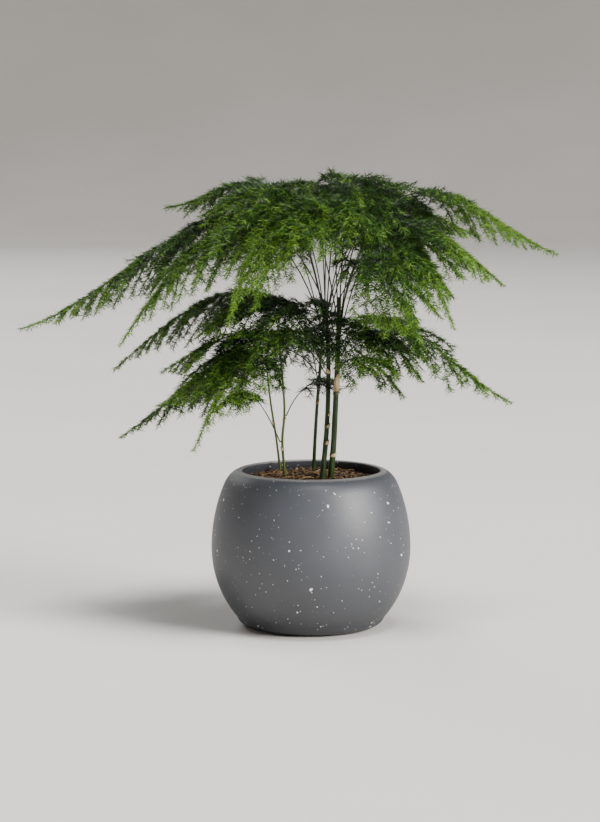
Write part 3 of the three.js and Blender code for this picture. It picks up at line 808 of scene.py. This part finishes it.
def specks(nodes, place, cell, radius, share):
    """A mask of ragged specks up to a radius, in a share of the cells of a cell pattern, in mm."""
    raggedness, edge, mostly_small = 2.2, 0.12, 3.0
    rough = nodes.add("ShaderNodeTexNoise", {"Vector": place, "Scale": 0.5 / (radius * MM)}).outputs["Color"]
    shift = nodes.scaled(nodes.vector("SUBTRACT", rough, (0.5, 0.5, 0.5)), raggedness * radius * MM)
    cells = nodes.add("ShaderNodeTexVoronoi", {
        "Vector": nodes.vector("ADD", place, shift), "Scale": 1 / (cell * MM),
    })
    draw = nodes.add("ShaderNodeSeparateColor", {"Color": cells.outputs["Color"]})
    chosen = nodes.math("LESS_THAN", draw.outputs[0], share)
    reach = nodes.math("MULTIPLY", nodes.math("POWER", draw.outputs[1], mostly_small), radius / cell)
    inside = nodes.math("SUBTRACT", reach, cells.outputs["Distance"])
    return nodes.math("MULTIPLY", chosen, nodes.math("MULTIPLY", inside, cell / edge, True))


def pot_material():
    """Satin slate-blue stoneware with pale specks, darkened towards the foot by painted shade, and a lip
    lightened partly as wear and partly as a painted highlight.
    """
    material, nodes, shader = principled("speckled stoneware", 0.5, 0.8)
    place = nodes.add("ShaderNodeTexCoord").outputs["Object"]
    cloud = noise_of(nodes, place, 28.0, 5.0)
    height = nodes.add("ShaderNodeSeparateXYZ", {"Vector": place}).outputs["Z"]
    body = ramp(nodes, cloud, [(0.3, (0.044, 0.05, 0.062)), (0.7, (0.066, 0.074, 0.092))])
    # Painted shade: the body is blended towards near-black down to the foot, where the pot's shadow falls.
    low = nodes.get("ShaderNodeMapRange", {
        "Value": height, "From Min": 0.07, "From Max": 0.0, "To Max": 0.85,
    })
    body = nodes.mix(low, body, (0.012, 0.014, 0.019, 1))
    big, small = specks(nodes, place, 4.4, 1.3, 0.32), specks(nodes, place, 1.6, 0.42, 0.6)
    pale = nodes.math("MAXIMUM", big, small)
    speckled = nodes.mix(pale, body, (0.85, 0.85, 0.83, 1))
    # The top of the lip is lightened by the cloud pattern, partly as wear and partly as a painted highlight.
    at_lip = nodes.math("MULTIPLY", nodes.math("SUBTRACT", height, (POT_HEIGHT - 1.2) * MM), 1500.0, True)
    lip_wear_and_highlight = nodes.math("MULTIPLY", at_lip, cloud)
    nodes.feed(nodes.mix(lip_wear_and_highlight, speckled, (0.36, 0.35, 0.33, 1)), shader, "Base Color")
    rough = nodes.math("ADD", 0.44, nodes.math("MULTIPLY", cloud, 0.12))
    nodes.feed(rough, shader, "Roughness")
    rings = nodes.get("ShaderNodeMapping", {"Vector": place, "Scale": (8, 8, 320)})
    thrown = nodes.math("MULTIPLY", noise_of(nodes, rings, 1.0), 0.9)
    grain = nodes.math("MULTIPLY", noise_of(nodes, place, 900.0, 3.0), 0.25)
    relief = nodes.math("ADD", nodes.math("ADD", grain, thrown), nodes.math("MULTIPLY", pale, 0.3))
    bump = nodes.get("ShaderNodeBump", {"Height": relief, "Strength": 0.35, "Distance": 0.0003})
    nodes.feed(bump, shader, "Normal")
    return material


# ---------------------------------------------------------------- soil


def soil_material():
    """Damp dark mix: brown fibre, orange bark and black peat, by crumb."""
    material, nodes, shader = principled("potting mix", 0.9, 0.25)
    place = nodes.add("ShaderNodeTexCoord").outputs["Object"]
    lumps = nodes.add("ShaderNodeTexVoronoi", {"Vector": place, "Scale": 480.0}).outputs["Color"]
    draw = nodes.get("ShaderNodeSeparateColor", {"Color": lumps})
    blend = nodes.math("ADD", nodes.math("MULTIPLY", draw, 0.7),
                       nodes.math("MULTIPLY", noise_of(nodes, place, 1500.0, 4.0), 0.3))
    colour = ramp(nodes, blend, [
        (0.26, (0.008, 0.005, 0.004)), (0.5, (0.028, 0.016, 0.009)), (0.66, (0.085, 0.046, 0.022)),
        (0.8, (0.22, 0.13, 0.06)), (0.95, (0.42, 0.33, 0.22)),
    ])
    nodes.feed(colour, shader, "Base Color")
    bump = nodes.get("ShaderNodeBump", {"Height": blend, "Strength": 0.8, "Distance": 0.0006})
    nodes.feed(bump, shader, "Normal")
    return material


def soil_height(x, y):
    """Low mounds that sink a little to the wall, with fine lumps on them."""
    mound, sunk = 0.9, 0.8
    broad = math.sin(x * 0.21 + 0.8) * math.cos(y * 0.17 - 0.4)
    fine = math.sin(x * 0.63 - y * 0.29) * math.cos(y * 0.55 + x * 0.18)
    to_wall = math.hypot(x, y) / POT_MOUTH
    lumps = noise.noise(Vector((x, y, 0)) * 0.45) * 0.9 + noise.noise(Vector((x, y, 9)) * 1.1) * 0.5
    return SOIL_LEVEL + mound * (0.6 * broad + 0.5 * fine) - sunk * to_wall ** 2 + lumps


def crumb_tree():
    """Strews rough crumbs over the top of the soil and keeps the bed under them."""
    tree, nodes, given = geometry_tree("strewn crumbs", {
        "Density": ("NodeSocketFloat", 60000.0), "Smallest": ("NodeSocketFloat", 0.0006),
        "Largest": ("NodeSocketFloat", 0.0022), "Seed": ("NodeSocketInt", 3),
        "Material": ("NodeSocketMaterial", None),
    })
    normal, position = nodes.get("GeometryNodeInputNormal"), nodes.get("GeometryNodeInputPosition")
    facing = nodes.add("ShaderNodeSeparateXYZ", {"Vector": normal}).outputs["Z"]
    height = nodes.add("ShaderNodeSeparateXYZ", {"Vector": position}).outputs["Z"]
    top = nodes.math("MULTIPLY", nodes.math("GREATER_THAN", facing, 0.4),
                     nodes.math("GREATER_THAN", height, (SOIL_LEVEL - 5) * MM))
    spots = nodes.get("GeometryNodeDistributePointsOnFaces", {
        "Mesh": given["Geometry"], "Selection": top, "Density": given["Density"], "Seed": given["Seed"],
    })
    lump = nodes.get("GeometryNodeMeshIcoSphere", {"Radius": 0.5, "Subdivisions": 1})
    full_turn = 6.28
    turn = nodes.random((0, 0, 0), (full_turn, full_turn, full_turn), given["Seed"])
    grade = nodes.get("ShaderNodeMapRange", {
        "Value": nodes.math("POWER", nodes.random(0.0, 1.0, given["Seed"]), 3.0),
        "To Min": given["Smallest"], "To Max": given["Largest"],
    })
    shape = nodes.random((0.6, 0.5, 0.35), (1.5, 1.0, 0.8), nodes.math("ADD", given["Seed"], 5.0))
    strewn = nodes.get("GeometryNodeInstanceOnPoints", {
        "Points": spots, "Instance": lump, "Rotation": turn, "Scale": nodes.scaled(shape, grade),
    })
    real = nodes.get("GeometryNodeRealizeInstances", {"Geometry": strewn})
    rough = nodes.add("ShaderNodeTexNoise", {
        "Vector": nodes.get("GeometryNodeInputPosition"), "Scale": 900.0,
    }).outputs["Color"]
    shift = nodes.scaled(nodes.vector("SUBTRACT", rough, (0.5, 0.5, 0.5)), 1.1 * MM)
    crumbs = nodes.get("GeometryNodeSetPosition", {"Geometry": real, "Offset": shift})
    joined = nodes.add("GeometryNodeJoinGeometry")
    nodes.feed(crumbs, joined, "Geometry")
    nodes.feed(given["Geometry"], joined, "Geometry")
    painted = nodes.get("GeometryNodeSetMaterial", {
        "Geometry": joined.outputs["Geometry"], "Material": given["Material"],
    })
    nodes.add("NodeGroupOutput", {"Geometry": painted})
    return tree


def make_soil():
    """A bed that fills the pot, uneven on top, with crumbs strewn over it."""
    side_gap, edge_gap, edge_drop = 0.4, 0.8, 1.2
    profile = [(0, POT_FLOOR + GAP)]
    for z in (POT_FLOOR + GAP, 20, 38, 58, 74, 84):
        profile.append((inner_radius(z) - side_gap, z))
    edge = inner_radius(SOIL_LEVEL - 1) - edge_gap
    rings = 44
    for i in range(rings):
        profile.append((edge * (1 - i / rings), SOIL_LEVEL - (edge_drop if i == 0 else 0)))
    profile.append((0, SOIL_LEVEL))
    bed = revolved("soil bed", profile, 96)
    for vertex in bed.data.vertices:
        if vertex.co.z > (SOIL_LEVEL - 2) * MM:
            x, y, z = vertex.co / MM
            vertex.co.z = (soil_height(x, y) + z - SOIL_LEVEL) * MM
    mesh = bed.data
    bpy.data.objects.remove(bed)
    piece = grown("potting_mix", mesh, crumb_tree(), {
        "Density": 130000.0, "Smallest": 0.8 * MM, "Largest": 3.4 * MM, "Seed": 3,
        "Material": soil_material(),
    })
    finished(piece, "soil", "soil")


def make_fibres(tree):
    """Loose coir fibres that lie curled on the soil."""
    material, nodes, shader = principled("coir fibre", 0.8, 0.3)
    place = nodes.add("ShaderNodeTexCoord").outputs["Object"]
    colour = ramp(nodes, noise_of(nodes, place, 120.0), [
        (0.35, (0.1, 0.05, 0.022)), (0.65, (0.36, 0.23, 0.11)),
    ])
    nodes.feed(colour, shader, "Base Color")
    chains = []
    for i in range(FIBRES):
        out = FIBRE_BED * math.sqrt(chance(i, 11))
        turn = 2 * math.pi * chance(i, 12)
        x, y = out * math.cos(turn), out * math.sin(turn)
        heading, curl = 2 * math.pi * chance(i, 13), 0.5 * (chance(i, 14) - 0.5)
        step = (FIBRE_LENGTHS[0] + FIBRE_LENGTHS[1] * chance(i, 15)) / FIBRE_STEPS
        line = []
        for k in range(FIBRE_STEPS + 1):
            arch = FIBRE_LIFT * math.sin(math.pi * k / FIBRE_STEPS) * chance(i, 16)
            line.append(Vector((x, y, soil_height(x, y) + FIBRE_LIFT + arch)))
            heading += curl
            x += step * math.cos(heading)
            y += step * math.sin(heading)
        if math.hypot(x, y) < FIBRE_BOUND:
            radius = (FIBRE_RADII[0] + FIBRE_RADII[1] * chance(i, 17)) * MM
            chains.append(([mm(p) for p in line], {"thickness": [radius] * len(line)}))
    skeleton = chains_mesh("coir_fibres", chains)
    finished(grown("coir_fibres", skeleton, tree, {"Sides": 5, "Material": material}), "soil")


# ---------------------------------------------------------------- floor, light and camera


def floor_material():
    """A pale floor whose wall is a little deeper in tone."""
    material, nodes, shader = principled("pale floor", 0.6, 0.3)
    place = nodes.add("ShaderNodeTexCoord").outputs["Object"]
    pale = ramp(nodes, noise_of(nodes, place, 3.0), [(0.3, (0.68, 0.665, 0.64)), (0.7, (0.72, 0.705, 0.68))])
    height = nodes.add("ShaderNodeSeparateXYZ", {"Vector": place}).outputs["Z"]
    on_wall = nodes.get("ShaderNodeMapRange", {"Value": height, "From Max": 1.5})
    nodes.feed(nodes.mix(on_wall, pale, (0.46, 0.44, 0.42, 1)), shader, "Base Color")
    return material


def make_floor():
    """A round floor that runs up into a wall in one smooth sweep."""
    flat, sweep, top, sides, steps = 5, 3, 5, 96, 24
    section = [(0.01, 0), (flat, 0)]
    section += [(flat + sweep * math.sin(a), sweep * (1 - math.cos(a)))
                for a in (math.pi / 2 * i / steps for i in range(1, steps + 1))]
    section.append((flat + sweep, top))
    points = [(radius * math.cos(a), radius * math.sin(a), z) for radius, z in section
              for a in (2 * math.pi * i / sides for i in range(sides))]
    faces = [tuple(range(sides))]
    for ring in range(len(section) - 1):
        for i in range(sides):
            a, b = ring * sides + i, ring * sides + (i + 1) % sides
            faces.append((a, a + sides, b + sides, b))
    mesh = bpy.data.meshes.new("floor")
    mesh.from_pydata(points, [], faces)
    mesh.shade_smooth()
    floor = bpy.data.objects.new("floor", mesh)
    bpy.context.collection.objects.link(floor)
    floor.data.materials.append(floor_material())


def make_light(name, place, aim, size, power, colour=(1, 1, 1)):
    """A soft round lamp, in metres and watts, turned to its aim."""
    data = bpy.data.lights.new(name, "AREA")
    data.shape = "DISK"
    data.size = size
    data.energy = power
    data.color = colour
    light = bpy.data.objects.new(name, data)
    light.location = place
    light.rotation_euler = (Vector(aim) - Vector(place)).to_track_quat("-Z", "Y").to_euler()
    bpy.context.collection.objects.link(light)


def make_world():
    """A faint warm glow from all sides."""
    world = bpy.data.worlds.new("studio")
    world.use_nodes = True
    background = world.node_tree.nodes["Background"]
    background.inputs["Color"].default_value = (0.82, 0.8, 0.77, 1)
    background.inputs["Strength"].default_value = 0.06
    bpy.context.scene.world = world


def make_camera():
    """Looks along +Y, a little down, from well over a metre in front of the pot."""
    data = bpy.data.cameras.new("camera")
    data.sensor_width = 36
    data.lens = 99.37
    down = 6.79
    camera = bpy.data.objects.new("camera", data)
    camera.location = mm((-6.6, -1350, 290))
    camera.rotation_euler = (math.radians(90 - down), 0, 0)
    bpy.context.collection.objects.link(camera)
    bpy.context.scene.camera = camera


def main():
    """Builds the plant, the pot and the studio."""
    green = cane_material("green cane", [
        (0.3, (0.007, 0.018, 0.0035)), (0.5, (0.015, 0.036, 0.007)), (0.75, (0.052, 0.088, 0.02)),
    ])
    young = cane_material("young cane", [
        (0.3, (0.042, 0.066, 0.014)), (0.5, (0.08, 0.112, 0.026)), (0.75, (0.155, 0.18, 0.06)),
    ])
    dry = cane_material("dry stem", [
        (0.3, (0.16, 0.1, 0.05)), (0.5, (0.3, 0.21, 0.12)), (0.75, (0.5, 0.4, 0.27)),
    ])
    round_body = tube_tree()
    make_canes(round_body, green, young, dry)
    make_scale_leaves()
    make_fronds(needle_tree(), twig_material(), foliage_material())
    pot_sides = 160
    pot = revolved("stoneware_pot", pot_profile(), pot_sides)
    pot.data.materials.append(pot_material())
    finished(pot, "stoneware", "pot")
    make_soil()
    make_fibres(round_body)
    make_floor()
    make_world()
    middle = (0, 0, 0.15)
    make_light("window", (4.4, -2.5, 2.6), middle, 3.0, 600, (1, 0.97, 0.93))
    make_light("overhead", (0.6, -0.8, 4.6), middle, 1.6, 250, (1, 0.98, 0.95))
    make_light("fill", (-3.5, -3.4, 2.4), middle, 3.2, 8, (1, 0.97, 0.93))
    make_light("back", (-2.2, 3.6, 2.8), middle, 2.6, 110)
    make_camera()


main()
bpy.context.view_layer.update()
